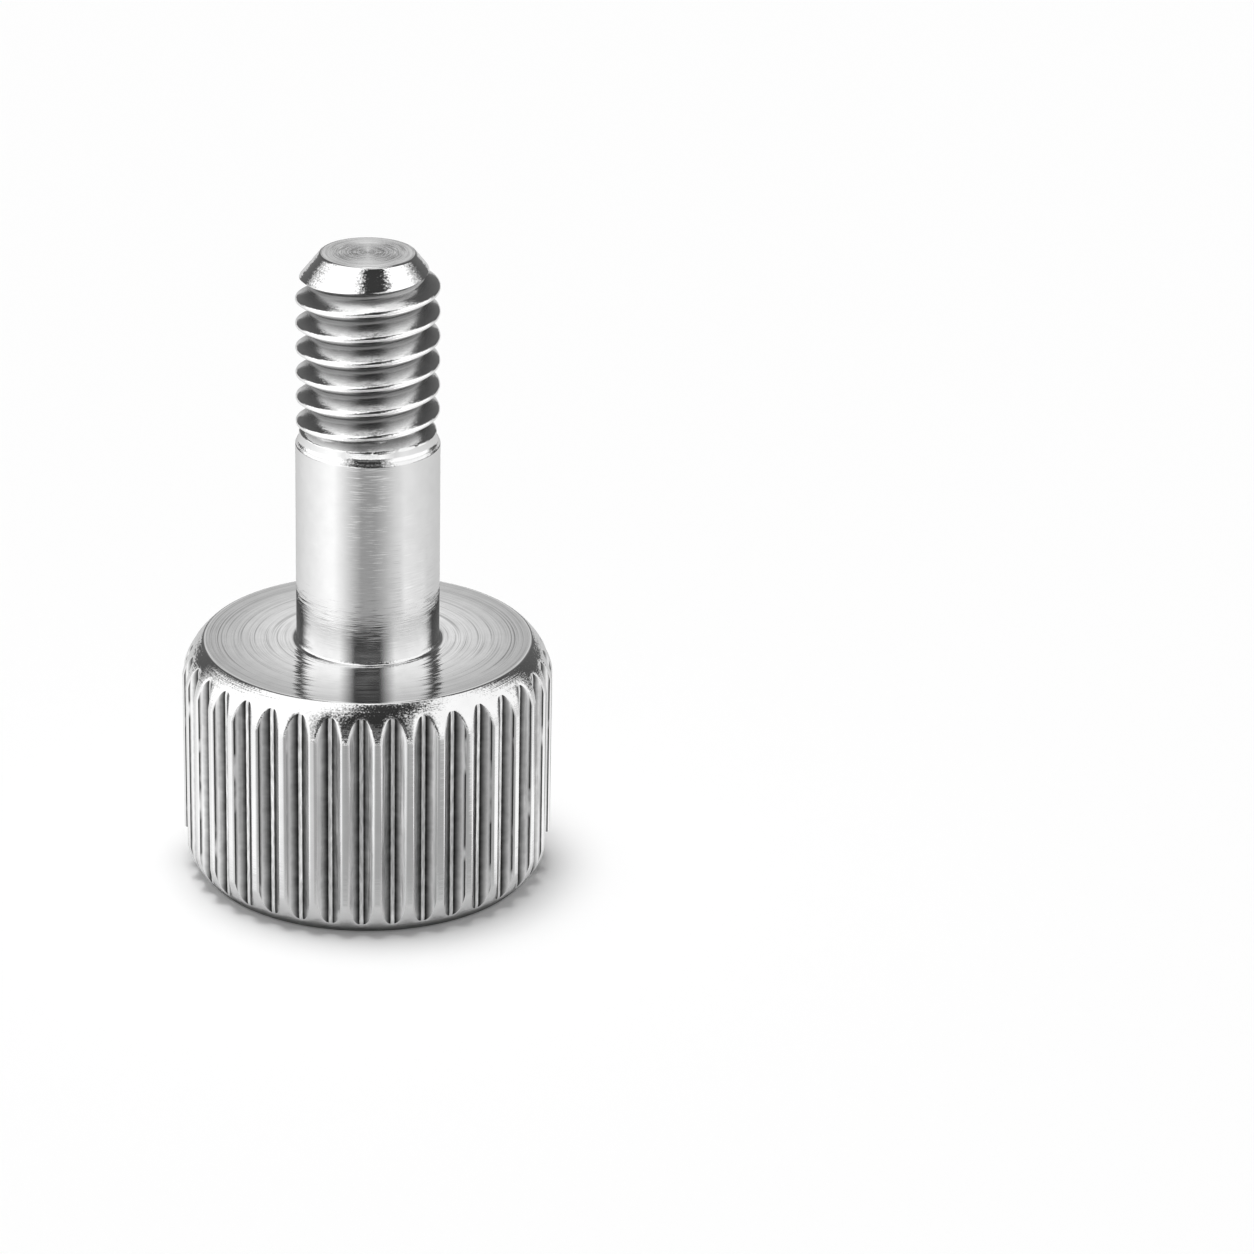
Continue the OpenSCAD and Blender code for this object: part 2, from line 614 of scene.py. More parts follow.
class Signal:
    """A value in a node tree, on which the usual operators add Math nodes."""

    def __init__(self, graph: "Graph", socket: bpy.types.NodeSocket) -> None:
        """Wrap a socket of a graph."""
        self.graph = graph
        self.socket = socket

    def __add__(self, other: "Signal | float") -> "Signal":
        """Return the sum."""
        return self.graph.math("ADD", self, other)

    def __radd__(self, other: float) -> "Signal":
        """Return the sum with a number in front."""
        return self.graph.math("ADD", other, self)

    def __sub__(self, other: "Signal | float") -> "Signal":
        """Return the difference."""
        return self.graph.math("SUBTRACT", self, other)

    def __rsub__(self, other: float) -> "Signal":
        """Return a number less the value."""
        return self.graph.math("SUBTRACT", other, self)

    def __mul__(self, other: "Signal | float") -> "Signal":
        """Return the product."""
        return self.graph.math("MULTIPLY", self, other)

    def __rmul__(self, other: float) -> "Signal":
        """Return the product with a number in front."""
        return self.graph.math("MULTIPLY", other, self)

    def __truediv__(self, other: "Signal | float") -> "Signal":
        """Return the quotient."""
        return self.graph.math("DIVIDE", self, other)

    def __neg__(self) -> "Signal":
        """Return the value with its sign changed."""
        return self.graph.math("MULTIPLY", self, -1.0)

    def __abs__(self) -> "Signal":
        """Return the value without its sign."""
        return self.graph.math("ABSOLUTE", self)

    def __pow__(self, other: float) -> "Signal":
        """Return the value raised to a power."""
        return self.graph.math("POWER", self, other)

    def clamped(self) -> "Signal":
        """Return the value held between 0 and 1."""
        return self.graph.math("MAXIMUM", self.graph.math("MINIMUM", self, 1.0), 0.0)

    def hill(self, middle: float, width: float) -> "Signal":
        """Return a smooth hill, 1 where the value is at its middle."""
        away = (self - middle) / width
        return self.graph.math("EXPONENT", -(away * away))

    def ramp(self, start: float, stop: float) -> "Signal":
        """Return a straight slope, 0 where the value is at its start and 1 at its stop."""
        return ((self - start) / (stop - start)).clamped()

    def band(self, low: float, high: float, soft: float) -> "Signal":
        """Return 1 where the value is between two limits and 0 outside, with soft edges."""
        return ((self - low) / soft + 0.5).clamped() * ((high - self) / soft + 0.5).clamped()


class Graph:
    """The nodes of one material or world."""

    def __init__(self, owner: bpy.types.Material | bpy.types.World) -> None:
        """Empty the owner's node tree and start a new one.

        Args:
            owner: The material or the world.
        """
        owner.use_nodes = True
        self.tree = owner.node_tree
        self.tree.nodes.clear()

    def node(
        self, kind: str, settings: dict[str, object] | None = None, **inputs: object
    ) -> bpy.types.Node:
        """Add a node.

        Args:
            kind: The node's type, without its ShaderNode prefix.
            settings: Properties of the node, such as a Math node's operation.
            **inputs: Values or signals of its sockets, by name with _ for a space.

        Returns:
            The new node.
        """
        made = self.tree.nodes.new("ShaderNode" + kind)
        for key, value in (settings or {}).items():
            setattr(made, key, value)
        for key, value in inputs.items():
            self.feed(made.inputs[key.replace("_", " ")], value)
        return made

    def feed(self, socket: bpy.types.NodeSocket, value: object) -> None:
        """Link a signal or a socket to an input, or set its plain value.

        Args:
            socket: The input.
            value: What goes into it.
        """
        if isinstance(value, Signal):
            value = value.socket
        if isinstance(value, bpy.types.NodeSocket):
            self.tree.links.new(value, socket)
        else:
            socket.default_value = value

    def math(self, operation: str, *values: Signal | float) -> Signal:
        """Add a Math node.

        Args:
            operation: What the node works out.
            *values: Its inputs, in their order.

        Returns:
            The node's value.
        """
        made = self.node("Math", {"operation": operation})
        for socket, value in zip(made.inputs, values):
            self.feed(socket, value)
        return Signal(self, made.outputs[0])

    def vector_math(self, operation: str, *values: object) -> bpy.types.NodeSocket:
        """Add a Vector Math node.

        Args:
            operation: What the node works out.
            *values: Its vectors, in their order.

        Returns:
            The node's vector.
        """
        made = self.node("VectorMath", {"operation": operation})
        for socket, value in zip(made.inputs, values):
            self.feed(socket, value)
        return made.outputs[0]

    def scaled(self, vector: bpy.types.NodeSocket, factor: Signal | float) -> bpy.types.NodeSocket:
        """Return a vector times a number.

        Args:
            vector: The vector.
            factor: The number.

        Returns:
            The longer or shorter vector.
        """
        made = self.node("VectorMath", {"operation": "SCALE"})
        self.feed(made.inputs[0], vector)
        self.feed(made.inputs["Scale"], factor)
        return made.outputs[0]

    def combined(self, *parts: Signal | float) -> bpy.types.NodeSocket:
        """Return the vector of three numbers."""
        return self.node("CombineXYZ", X=parts[0], Y=parts[1], Z=parts[2]).outputs[0]

    def parts_of(self, vector: bpy.types.NodeSocket) -> tuple[Signal, Signal, Signal]:
        """Return the three numbers of a vector."""
        made = self.node("SeparateXYZ", Vector=vector)
        return tuple(Signal(self, made.outputs[i]) for i in range(3))

    def noise(self, vector: bpy.types.NodeSocket, detail: float = 1.0) -> Signal:
        """Return smooth noise about 0, mostly from -0.25 to 0.25.

        Args:
            vector: Where the noise is read, in noise cells.
            detail: How many finer layers the noise has.

        Returns:
            The noise.
        """
        made = self.node("TexNoise", {}, Vector=vector, Scale=1.0, Detail=detail)
        return Signal(self, made.outputs[0]) - 0.5

    def rays(self) -> tuple[Signal, Signal]:
        """Return whether a ray comes from the camera, and whether from a reflection."""
        path = self.node("LightPath")
        return tuple(Signal(self, path.outputs[f"Is {kind} Ray"]) for kind in ("Camera", "Glossy"))

    def finish(self, kind: str, shader: bpy.types.NodeSocket) -> None:
        """Add the output node, Material or World, and link the shader to it."""
        self.node("Output" + kind, Surface=shader)


@dataclass(frozen=True)
class Place:
    """Where a point of a turned part lies, as signals in millimetres in the object's own frame."""

    graph: Graph
    point: bpy.types.NodeSocket
    normal: bpy.types.NodeSocket
    x: Signal
    y: Signal
    z: Signal
    radius: Signal
    cosine: Signal
    sine: Signal
    level: Signal

    @classmethod
    def of(cls, graph: Graph) -> "Place":
        """Read the object's own coordinates and normal.

        Args:
            graph: The material's nodes.

        Returns:
            The place that is shaded.
        """
        source = graph.node("TexCoord")
        point = graph.scaled(source.outputs["Object"], 1 / MM)
        normal = source.outputs["Normal"]
        x, y, z = graph.parts_of(point)
        radius = graph.math("SQRT", x * x + y * y + LEAST_SQUARE)
        level = abs(graph.parts_of(normal)[2])
        return cls(graph, point, normal, x, y, z, radius, x / radius, y / radius, level)

    def noise(self, x: Signal, y: Signal, z: Signal, detail: float = 1.0) -> Signal:
        """Return noise about 0 that is read at three numbers."""
        return self.graph.noise(self.graph.combined(x, y, z), detail)


@dataclass(frozen=True)
class SteelFinish:
    """Bright steel whose tool marks tilt its surface. Densities are per millimetre.

    Each mark tilts the surface across the path of the tool, so that a reflection is drawn out
    that way, as on the real metal. Bevels and chamfers are also grained.
    """

    name: str
    tone: float = 0.75
    tone_swing: float = 0.10
    roughness: float = 0.09
    roughness_swing: float = 0.08
    fine_density: float = 80.0
    fine_tilt: float = 0.5
    ring_density: float = 6.0
    ring_tilt: float = 0.05
    arc_turns: float = 3.0
    grain_density: float = 20.0
    grain_tilt: float = 0.02
    bevel_grain: float = 0.30
    matte_density: float = 1.1
    tone_density: float = 2.2
    cloud_detail: float = 2.0

    def across(self, place: Place) -> bpy.types.NodeSocket:
        """Return the direction across the tool's path, along the surface."""
        around = place.graph.combined(-place.sine, place.cosine, 0.0)
        return place.graph.vector_math("CROSS_PRODUCT", around, place.normal)

    def marks(self, place: Place, density: float) -> Signal:
        """Return noise that is drawn out along the tool's path.

        Args:
            place: The point on the object.
            density: Marks per millimetre across the path.

        Returns:
            The noise about 0.
        """
        turn = self.arc_turns
        return place.noise(
            place.radius * density + place.cosine * turn, place.z * density, place.sine * turn
        )

    def strength(self, place: Place) -> Signal | float:
        """Return how strong the tool's finest marks are at a place."""
        return 1.0

    def lean(self, place: Place) -> Signal | float:
        """Return the tilt that is no mark: none on most surfaces."""
        return 0.0

    def cloud(self, place: Place, density: float) -> Signal:
        """Return noise in soft clouds, of so many to a millimetre."""
        return place.graph.noise(place.graph.scaled(place.point, density), self.cloud_detail)

    def reflectance(self, place: Place) -> Signal:
        """Return how much light the metal reflects: even but for faint clouds."""
        return self.tone + self.cloud(place, self.tone_density) * self.tone_swing

    def matte(self, place: Place) -> Signal:
        """Return the roughness: even but for faint clouds."""
        return self.roughness + self.cloud(place, self.matte_density) * self.roughness_swing

    def material(self) -> bpy.types.Material:
        """Build the material.

        Returns:
            Metal with a tilted normal, and clouds in its roughness and tone.
        """
        made = bpy.data.materials.new(self.name)
        graph = Graph(made)
        place = Place.of(graph)
        tilt = self.marks(place, self.fine_density) * (self.fine_tilt * self.strength(place))
        tilt = tilt + self.marks(place, self.ring_density) * self.ring_tilt
        tilt = tilt + self.lean(place)
        grain = graph.node(
            "TexNoise", {}, Vector=place.point, Scale=self.grain_density, Detail=1.0
        ).outputs["Color"]
        grain = graph.vector_math("SUBTRACT", grain, (0.5, 0.5, 0.5))
        # 0 on level and upright faces, and up to 1 on slanted ones
        slanted = place.level * (1 - place.level) * 4
        grain = graph.scaled(grain, self.grain_tilt + slanted * self.bevel_grain)
        bent = graph.vector_math("ADD", place.normal, graph.scaled(self.across(place), tilt))
        bent = graph.vector_math("ADD", bent, grain)
        turned = graph.node(
            "VectorTransform",
            {"vector_type": "NORMAL", "convert_from": "OBJECT", "convert_to": "WORLD"}, Vector=bent,
        )
        shader = graph.node(
            "BsdfPrincipled", Base_Color=self.reflectance(place), Metallic=1.0,
            Roughness=self.matte(place), Normal=turned.outputs[0],
        )
        graph.finish("Material", shader.outputs[0])
        return made


@dataclass(frozen=True)
class FacedFinish(SteelFinish):
    """The flat faces, with strong rings from facing, calmer next to the shank."""

    calm_radius: float = 2.7
    calm_width: float = 0.6
    bright_radius: float = 2.4
    dull_radius: float = 4.3
    calm_loss: float = 0.5
    dull_share: float = 0.6
    centre_width: float = 1.3
    centre_gain: float = 5.0
    centre_loss: float = 0.25

    def strength(self, place: Place) -> Signal | float:
        """Return how strong the finest rings are: less near the shank, and more at the centre."""
        calm = place.radius.hill(self.calm_radius, self.calm_width) * self.calm_loss
        return 1 - calm + place.radius.hill(0, self.centre_width) * self.centre_gain

    def reflectance(self, place: Place) -> Signal:
        """Return the reflectance, which falls a little towards the rim and towards the axis.

        Args:
            place: The point on the object.

        Returns:
            The reflectance.
        """
        loss = place.radius.ramp(self.bright_radius, self.dull_radius) * (1 - self.dull_share)
        loss = loss + place.radius.hill(0, self.centre_width) * self.centre_loss
        return (1 - loss) * super().reflectance(place)


@dataclass(frozen=True)
class KnurledFinish(SteelFinish):
    """The flanks and floors of the knurl, with streaks along the grooves and painted shade at the
    feet of the flanks.

    Thin lines of painted shade lie beside the lips, where the lips' overhang would shade the
    flanks. A grain is how dense patches are across and along the grooves.
    """

    head: KnurledHead = field(default_factory=KnurledHead)
    streak_density: float = 0.7
    foot_shade_tone: float = 0.02
    foot_shade_wobble: float = 0.05
    foot_shade_from: float = 0.06
    foot_shade_width: float = 0.19
    foot_shade_power: float = 1.8
    foot_shade_grain: tuple[float, float] = (3.0, 4.0)
    floor_tone: float = 0.85
    floor_wobble: float = 0.3
    floor_soft: float = 0.02
    floor_grain: tuple[float, float] = (20.0, 3.0)
    lip_shade_offset: float = 0.305
    lip_shade_width: float = 0.027
    lip_shade_wobble: float = 0.2
    lip_shade_loss: float = 0.97
    lip_shade_whole: float = 1.6
    lip_shade_broken: float = 8.0
    lip_shade_grain: tuple[float, float] = (2.0, 0.8)
    lip_shade_side: tuple[float, float] = (1.4, 2.8)

    def across(self, place: Place) -> bpy.types.NodeSocket:
        """Return the level direction along the surface."""
        return place.graph.vector_math("CROSS_PRODUCT", (0.0, 0.0, 1.0), place.normal)

    def marks(self, place: Place, density: float) -> Signal:
        """Return streaks that run along the axis."""
        return self.patches(place, (density, self.streak_density), 1.0)

    def patches(self, place: Place, grain: tuple[float, float], detail: float = 2.0) -> Signal:
        """Return noise that differs in scale across and along the grooves.

        Args:
            place: The point on the object.
            grain: Noise cells per millimetre across and along.
            detail: How many finer layers the noise has.

        Returns:
            The noise about 0.
        """
        across, along = grain
        return place.noise(place.x * across, place.y * across, place.z * along, detail)

    def reflectance(self, place: Place) -> Signal:
        """Return the reflectance, with painted shade at the feet of the flanks and in thin lines
        beside the lips.

        Args:
            place: The point on the object.

        Returns:
            The reflectance.
        """
        step = 2 * math.pi / self.head.grooves
        azimuth = place.graph.math("ARCTAN2", place.y, place.x)
        offset = place.graph.math("PINGPONG", azimuth / step, 0.5) * step * place.radius
        # Painted shade: the reflectance falls towards the feet of the flanks, standing in for the
        # shade deep in the grooves; the groove's floor line is left out of it, with a speckled tone
        wobble = self.patches(place, self.foot_shade_grain) * self.foot_shade_wobble
        away = ((offset + wobble - self.foot_shade_from) / self.foot_shade_width).clamped() ** self.foot_shade_power
        speckle = self.patches(place, self.floor_grain, 1.0) + self.floor_tone
        inside = (self.foot_shade_from - offset + wobble * self.floor_wobble) / self.floor_soft
        floor = inside.clamped() * speckle
        share = place.graph.math("MAXIMUM", away * (1 - self.foot_shade_tone) + self.foot_shade_tone, floor)
        # Painted shade: thin broken dark lines beside the lips, standing in for the shade under the
        # lips' overhang
        broken = self.patches(place, self.lip_shade_grain) * self.lip_shade_broken
        bent = offset + wobble * self.lip_shade_wobble
        lip_shade = bent.hill(self.lip_shade_offset, self.lip_shade_width)
        lip_shade = lip_shade * (broken + self.lip_shade_whole).clamped()
        # The painted shade lines beside the lips fade out towards the plane X = 0, which runs
        # nearly through the camera, so they show only at the left and right as seen from it
        lip_shade = lip_shade * abs(place.x).ramp(*self.lip_shade_side) * self.lip_shade_loss
        return share * (1 - lip_shade) * super().reflectance(place)


@dataclass(frozen=True)
class ThreadedFinish(SteelFinish):
    """The thread, with painted shade that darkens it towards its roots."""

    thread: ThreadedEnd = field(default_factory=ThreadedEnd)
    # Share of the reflectance that the painted shade leaves at the roots
    shaded_root_share: float = 0.25
    root_matte: float = 0.24
    flank_lean: float = 0.1
    root_lean: float = 0.24
    washout_lean: float = -0.15
    washout_end: float = 0.5
    washout_soft: float = 0.15
    chamfer_soft: float = 0.1

    def depth(self, place: Place) -> Signal:
        """Return how deep a place lies below the crests and the chamfer.

        Args:
            place: The point on the object.

        Returns:
            The depth, from 0 at the crests to 1 at the roots.
        """
        end = self.thread
        slope = (end.crest_radius - end.tip_radius) / end.chamfer
        chamfer = (end.top - place.z) * slope + end.tip_radius
        outside = place.graph.math("MINIMUM", chamfer, end.crest_radius)
        return ((outside - place.radius) / (end.crest_radius - end.root_radius)).clamped()

    def matte(self, place: Place) -> Signal:
        """Return the roughness, which is least at the crests."""
        return self.depth(place) * self.root_matte + super().matte(place)

    def lean(self, place: Place) -> Signal | float:
        """Return how far the flanks' normals lean outwards, most of all near the roots.

        Args:
            place: The point on the object.

        Returns:
            The tilt, inwards at the washout and none on the chamfer.
        """
        chamfer = self.thread.top - self.thread.chamfer
        below = place.z.ramp(chamfer, chamfer - self.chamfer_soft)
        washout = self.thread.base + self.washout_end
        above = place.z.ramp(washout, washout + self.washout_soft)
        lean = self.flank_lean + self.depth(place) * self.root_lean
        lean = lean * above + (1 - above) * self.washout_lean
        return lean * below * place.graph.parts_of(place.normal)[2]

    def reflectance(self, place: Place) -> Signal:
        """Return the reflectance, with painted shade that deepens from the crests down to the
        roots.
        """
        share = 1 - self.depth(place) * (1 - self.shaded_root_share)
        return share * super().reflectance(place)


@dataclass(frozen=True)
class MilledFinish(SteelFinish):
    """The walls and the floor of the slot, with streaks along the cut."""

    streak_density: float = 1.5

    def across(self, place: Place) -> bpy.types.NodeSocket:
        """Return the direction across the cut, along the surface."""
        return place.graph.vector_math("CROSS_PRODUCT", (1.0, 0.0, 0.0), place.normal)

    def marks(self, place: Place, density: float) -> Signal:
        """Return streaks that run along the slot."""
        along = place.x * self.streak_density
        return place.noise(along, place.y * density, place.z * density)


@dataclass(frozen=True)
class ThumbScrew:
    """The whole screw, one closed mesh that stands for its CAD node."""

    head: KnurledHead = field(default_factory=KnurledHead)
    shank: PlainShank = field(default_factory=PlainShank)
    thread: ThreadedEnd = field(default_factory=ThreadedEnd)
    slot: DriverSlot = field(default_factory=DriverSlot)
    # In the order of Surface
    finishes: tuple[SteelFinish, ...] = (
        SteelFinish("turned_steel"),
        KnurledFinish("knurled_steel", tone=0.86, roughness=0.36, fine_density=22.0, ring_tilt=0.2),
        ThreadedFinish("threaded_steel", tone=0.92, roughness=0.07, fine_tilt=0.2, bevel_grain=0.2),
        MilledFinish("milled_steel", roughness=0.25, fine_tilt=0.4),
        FacedFinish(
            "faced_steel", tone=0.86, tone_swing=0.15, fine_density=60.0, fine_tilt=0.45,
            ring_density=22.0, ring_tilt=0.45, arc_turns=0.9,
        ),
    )

    def body(self) -> bmesh.types.BMesh:
        """Build the closed body before its slot is cut.

        Returns:
            The body, in millimetres.
        """
        bm = self.head.shell()
        join(bm, self.shank.shell(self.head.height))
        join(bm, self.thread.shell())
        self.close_faces(bm)
        bmesh.ops.recalc_face_normals(bm, faces=bm.faces)
        bmesh.ops.triangulate(bm, faces=[face for face in bm.faces if self.slot.meets(face)])
        return bm

    def close_faces(self, bm: bmesh.types.BMesh) -> None:
        """Close the slotted face, the face under the head and the neck beside the shoulder.

        Args:
            bm: The head, the shank and the thread, open at their ends.
        """
        before = set(bm.faces)
        rings = self.head.face_rings()
        top = self.head.height
        lower = rim(bm, rings[0][1])
        upper = rim(bm, top - rings[0][1])
        for radius, inset in rings[1:]:
            lower = step_ring(bm, lower, radius, inset)
            upper = step_ring(bm, upper, radius, top - inset)
        neck = rim(bm, self.thread.base + self.thread.tip_band)
        step_ring(bm, neck, self.thread.neck_radius + self.thread.neck_flare, self.thread.base)
        bmesh.ops.triangle_fill(bm, edges=rim(bm, self.thread.base))
        paint([face for face in bm.faces if face not in before], Surface.TURNED)
        before = set(bm.faces)
        bmesh.ops.contextual_create(bm, geom=lower)
        bmesh.ops.triangle_fill(bm, edges=rim(bm, top))
        paint([face for face in bm.faces if face not in before], Surface.FACED)

    def cut(self, body: bpy.types.Object) -> None:
        """Cut the slot out of the body.

        Args:
            body: The closed body, in millimetres, with its materials.
        """
        tool = object_of(self.slot.cutter(), "slot_cutter")
        for finish in body.data.materials:
            tool.data.materials.append(finish)
        cutting = body.modifiers.new("slot", "BOOLEAN")
        cutting.operation = "DIFFERENCE"
        cutting.solver = "EXACT"
        cutting.object = tool
        view = bpy.context.evaluated_depsgraph_get()
        mesh = bpy.data.meshes.new_from_object(body.evaluated_get(view))
        body.modifiers.clear()
        body.data = mesh
        bpy.data.objects.remove(tool)

    def build(self) -> bpy.types.Object:
        """Build, cut, shade and dress the screw.

        Returns:
            The finished piece, in metres.
        """
        body = object_of(self.body(), "turned_screw")
        for finish in self.finishes:
            body.data.materials.append(finish.material())
        self.cut(body)
        body.data.transform(Matrix.Scale(MM, 4))
        body.data.shade_smooth()
        body.data.set_sharp_from_angle(angle=math.radians(SMOOTH_ANGLE))
        return body


@dataclass(frozen=True)
class LitSide:
    """The soft box at one side of the screw, and the bright floor below it.

    Angles are in degrees. Azimuths count outwards from the camera's side, and rises count up from
    the level. A pair is where a change starts and where it is complete.
    """

    box_inner: float
    box_shift: float
    box_shift_rise: tuple[float, float]
    box_outer: float
    box_narrowing: float
    box_level: float
    floor_inner: tuple[float, float]
    floor_outer: tuple[float, float]
    floor_level: float
    box_narrow_rise: tuple[float, float] = (22.0, 40.0)
    box_inner_soft: float = 26.0
    box_outer_soft: float = 18.0
    box_span: tuple[float, float, float] = (-12.0, 80.0, 10.0)

    def box(self, outward: Signal, rise: Signal) -> Signal:
        """Return the light of the soft box, whose edges shift and close in higher up.

        Args:
            outward: Azimuth of the direction, counted to this side.
            rise: Angle of the direction above the level.

        Returns:
            The strength of the light.
        """
        inner = self.box_inner + rise.ramp(*self.box_shift_rise) * self.box_shift
        outer = self.box_outer - rise.ramp(*self.box_narrow_rise) * self.box_narrowing
        inside = ((outward - inner) / self.box_inner_soft + 0.5).clamped()
        inside = inside * ((outer - outward) / self.box_outer_soft + 0.5).clamped()
        return inside * rise.band(*self.box_span) * self.box_level

    def floor(self, outward: Signal) -> Signal:
        """Return how bright the floor is at an azimuth, as a share of its level."""
        return outward.ramp(*self.floor_inner) * outward.ramp(*self.floor_outer)


@dataclass(frozen=True)
class Studio:
    """The white floor and the light of the studio.

    Azimuths count in degrees from the camera's side, to its right, and rises up from the level.
    Distances on the floor are in millimetres from the screw's axis. A pair is where a change
    starts and where it is complete, a span is two limits and how soft they are, and a hill is
    its middle and its width.
    """

    camera_turn: float = CAMERA_TURN
    left: LitSide = LitSide(
        box_inner=34.0, box_shift=-18.0, box_shift_rise=(38.0, 66.0), box_outer=122.0,
        box_narrowing=18.0, box_level=1.7,
        floor_inner=(10.0, 54.0), floor_outer=(190.0, 62.0), floor_level=0.84,
    )
    right: LitSide = LitSide(
        box_inner=32.0, box_shift=32.0, box_shift_rise=(47.0, 55.0), box_outer=116.0,
        box_narrowing=12.0, box_level=1.5,
        floor_inner=(10.0, 58.0), floor_outer=(210.0, 62.0), floor_level=0.53,
    )

    floor_reach: float = 3.0
    floor_gap: float = 0.02
    floor_tone: float = 0.88
    floor_glow: float = 0.09
    mirrored_share: float = 0.52
    front_span: tuple[float, float, float] = (-30.0, 34.0, 20.0)
    shade_hill: tuple[float, float] = (32.0, 12.0)
    shade_loss: float = 0.2
    near: tuple[float, float] = (22.0, 14.0)
    strip_span: tuple[float, float, float] = (56.0, 104.0, 9.0)
    strip_level: float = 1.5
    beside: tuple[float, float] = (5.6, 8.6)
    foot: tuple[float, float] = (4.65, 4.95)
    foot_level: float = 0.32
    distant: tuple[float, float] = (48.0, 63.0)
    distant_level: float = 0.7

    room_level: float = 0.05
    ahead_width: float = 30.0
    ahead_hill: tuple[float, float] = (18.0, 6.0)
    ahead_level: float = 0.3
    back_width: float = 7.0
    back_level: float = 0.4
    back_rise: tuple[float, float] = (5.0, 40.0)
    back_gain: float = 0.9
    back_glow_width: float = 60.0
    back_glow: float = 0.16
    top_rise: float = 69.0
    top_lift: float = 9.0
    top_lift_width: float = 40.0
    top_soft: float = 7.0
    top_level: float = 1.3
    dome_way: tuple[float, float, float] = (-0.06, 0.04, 0.997)
    dome_level: float = 30.0
    dome_power: float = 48.0
    dome_fill: float = 0.1

    def azimuth(self, graph: Graph, x: Signal, y: Signal) -> Signal:
        """Return the azimuth of a direction or of a place on the floor.

        Args:
            graph: The nodes of the floor or of the world.
            x: The direction's or the place's part along X.
            y: Its part along Y.

        Returns:
            The azimuth in degrees.
        """
        turn = math.radians(self.camera_turn)
        ahead = x * math.sin(turn) - y * math.cos(turn)
        right = x * math.cos(turn) + y * math.sin(turn)
        return graph.math("ARCTAN2", right, ahead) * DEGREES

    def floor(self) -> bpy.types.Object:
        """Lay the floor just below the screw.

        Returns:
            The floor.
        """
        bm = bmesh.new()
        bmesh.ops.create_grid(bm, x_segments=1, y_segments=1, size=self.floor_reach)
        bmesh.ops.translate(bm, vec=(0, 0, -self.floor_gap * MM), verts=bm.verts)
        made = object_of(bm, "studio_floor")
        made.data.materials.append(self.paper())
        return made

    def paper(self) -> bpy.types.Material:
        """Build the floor's white paper.

        Reflections see it duller, most of all a little way in front of the screw, and brighter
        beside the screw, round its foot and far in front of it.

        Returns:
            The material.
        """
        made = bpy.data.materials.new("studio_floor")
        graph = Graph(made)
        seen, mirrored = graph.rays()
        x, y, _ = graph.parts_of(graph.node("TexCoord").outputs["Object"])
        azimuth = self.azimuth(graph, x, y)
        away = graph.math("SQRT", x * x + y * y) / MM
        front = azimuth.band(*self.front_span)
        # Painted shade: reflections see the floor duller, most of all a little way in front of the
        # screw
        shade = 1 - front * away.hill(*self.shade_hill) * self.shade_loss
        tone = self.floor_tone * (1 - mirrored * (1 - self.mirrored_share * shade))
        left = self.left.floor(-azimuth)
        right = self.right.floor(azimuth)
        strip = azimuth.band(*self.strip_span) * self.strip_level
        right = right + (strip - right) * away.ramp(*self.near)
        sides = left * self.left.floor_level + right * self.right.floor_level
        beside = away.ramp(*self.beside)
        foot = away.ramp(*self.foot) * (1 - beside) * self.foot_level
        distant = front * away.ramp(*self.distant) * self.distant_level
        # Painted light: for reflections the floor glows beside the screw, round its foot and far in
        # front of it, though it is no lamp; the camera sees an even glow
        glow = seen * self.floor_glow + mirrored * (sides * beside + foot + distant)
        both = graph.node("AddShader")
        graph.feed(both.inputs[0], graph.node("BsdfDiffuse", Color=tone).outputs[0])
        graph.feed(both.inputs[1], graph.node("Emission", Strength=glow).outputs[0])
        graph.finish("Material", both.outputs[0])
        return made

    def room(self, azimuth: Signal, rise: Signal) -> Signal:
        """Return what reflections see of the room: soft boxes at the sides, above and behind.

        Args:
            azimuth: Azimuth of the direction.
            rise: Angle of the direction above the level.

        Returns:
            The strength of the light.
        """
        ahead = azimuth.hill(0, self.ahead_width) * rise.hill(*self.ahead_hill) * self.ahead_level
        sides = self.left.box(-azimuth, rise) + self.right.box(azimuth, rise)
        behind = 180 - abs(azimuth)
        back = self.back_level + rise.ramp(*self.back_rise) * self.back_gain
        back = behind.hill(0, self.back_width) * back
        back = back + behind.hill(0, self.back_glow_width) * self.back_glow
        lower = self.top_rise + azimuth.hill(0, self.top_lift_width) * self.top_lift
        top = ((rise - lower) / self.top_soft + 0.5).clamped()
        return (self.room_level + ahead + sides + back) * (1 - top) + top * self.top_level

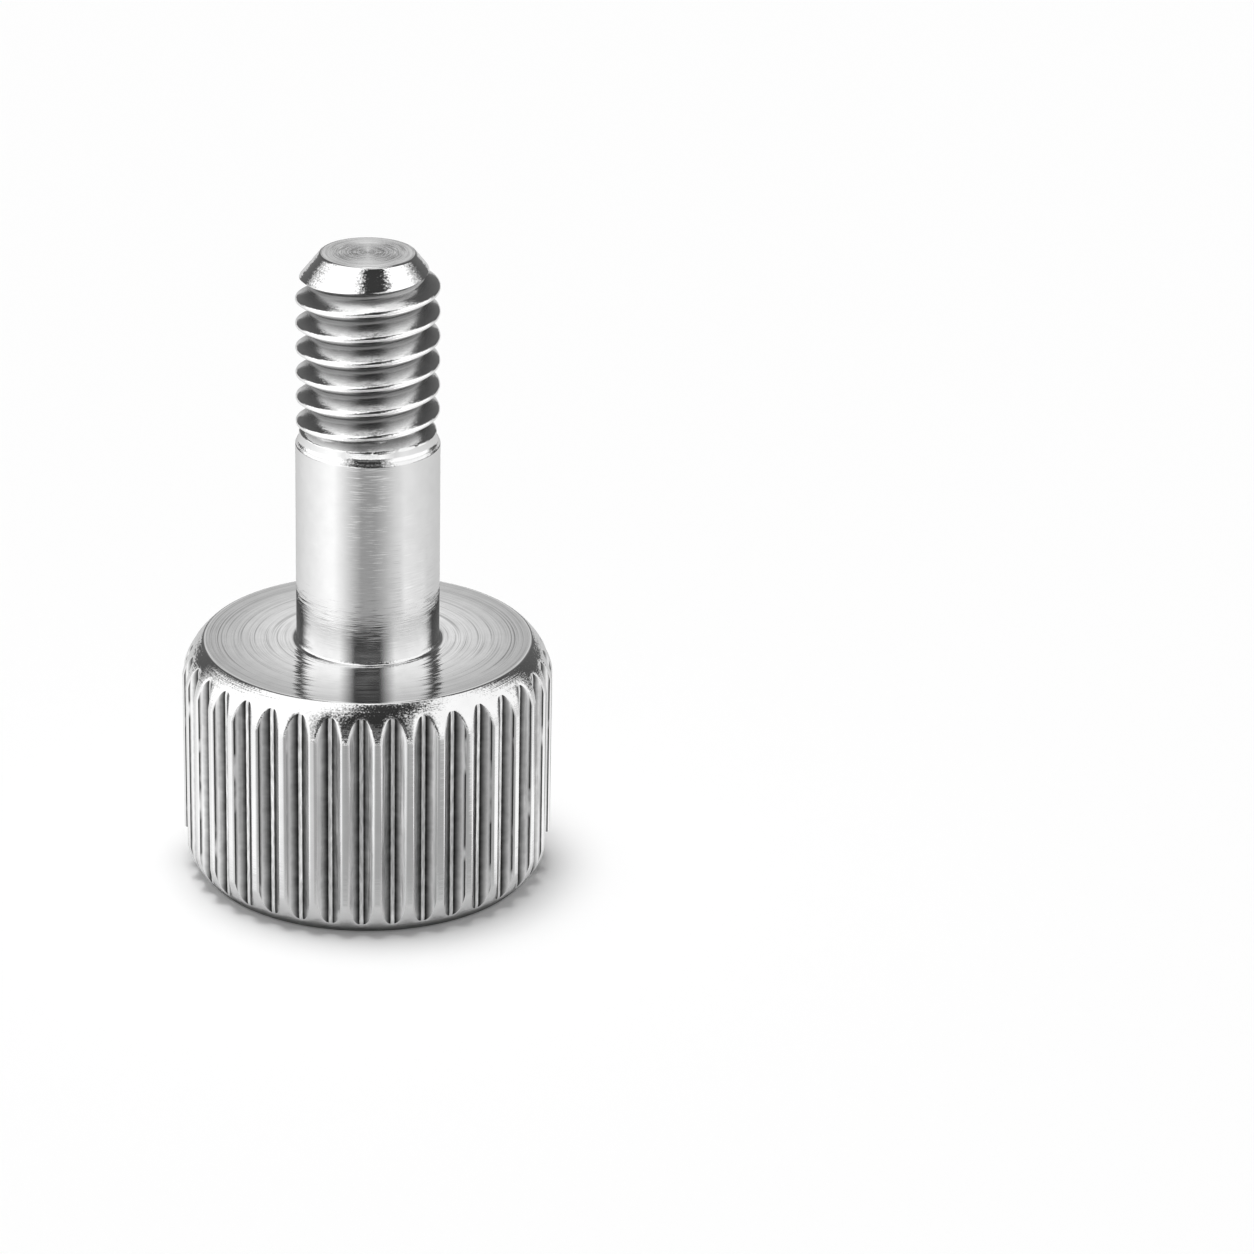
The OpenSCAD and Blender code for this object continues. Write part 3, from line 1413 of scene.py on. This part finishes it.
    def world(self) -> None:
        """Light the scene from a soft dome above, with the room in reflections and white seen."""
        made = bpy.data.worlds.new("studio")
        bpy.context.scene.world = made
        graph = Graph(made)
        x, y, z = graph.parts_of(graph.node("TexCoord").outputs["Generated"])
        room = self.room(self.azimuth(graph, x, y), graph.math("ARCSINE", z) * DEGREES)
        seen, mirrored = graph.rays()
        across, along, up = self.dome_way
        dome = (x * across + y * along + z * up).clamped()
        light = dome ** self.dome_power * self.dome_level + self.dome_fill
        level = room * mirrored + light * (1 - mirrored) * (1 - seen) + seen
        graph.finish("World", graph.node("Background", Strength=level).outputs[0])


@dataclass(frozen=True)
class PhotoCamera:
    """The camera of the photograph. Lengths in millimetres, angles in degrees."""

    reach: float = 127.601
    height: float = 61.147
    pitch: float = 22.955
    aside: float = 2.961
    turn: float = CAMERA_TURN
    focal_pixels: float = 5009.0
    frame_pixels: float = 1254.0
    sensor: float = 36.0
    clip_near: float = 5.0
    clip_far: float = 50000.0

    def build(self) -> bpy.types.Object:
        """Place the camera and make it the scene's.

        Returns:
            The camera.
        """
        data = bpy.data.cameras.new("photo_camera")
        data.sensor_width = self.sensor
        data.lens = self.sensor * self.focal_pixels / self.frame_pixels
        data.clip_start, data.clip_end = self.clip_near * MM, self.clip_far * MM
        made = bpy.data.objects.new("photo_camera", data)
        bpy.context.scene.collection.objects.link(made)
        pitch, aside = math.radians(self.pitch), math.radians(self.aside)
        level = Vector((1, 0, 0))
        ahead = Vector((0, math.cos(pitch), -math.sin(pitch)))
        up = Vector((0, math.sin(pitch), math.cos(pitch)))
        forward = math.cos(aside) * ahead + math.sin(aside) * level
        right = math.cos(aside) * level - math.sin(aside) * ahead
        stance = Matrix((right, up, -forward)).transposed().to_4x4()
        stance.translation = Vector((0, -self.reach, self.height)) * MM
        made.matrix_world = Matrix.Rotation(math.radians(self.turn), 4, "Z") @ stance
        bpy.context.scene.camera = made
        return made


def main() -> None:
    """Build the camera, the screw and its studio, and write how large the model is."""
    logging.basicConfig(level=logging.INFO, format="%(name)s: %(message)s")
    camera = PhotoCamera().build()
    log.info("%s: lens of %.1f mm", camera.name, camera.data.lens)
    screw = ThumbScrew().build()
    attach(screw, "root")
    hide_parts(NODE)
    log.info("%s: %d faces", screw.name, len(screw.data.polygons))
    studio = Studio()
    floor = studio.floor()
    log.info("%s: %d faces", floor.name, len(floor.data.polygons))
    studio.world()
    bpy.context.scene.view_settings.view_transform = "Standard"


if __name__ == "__main__":
    main()
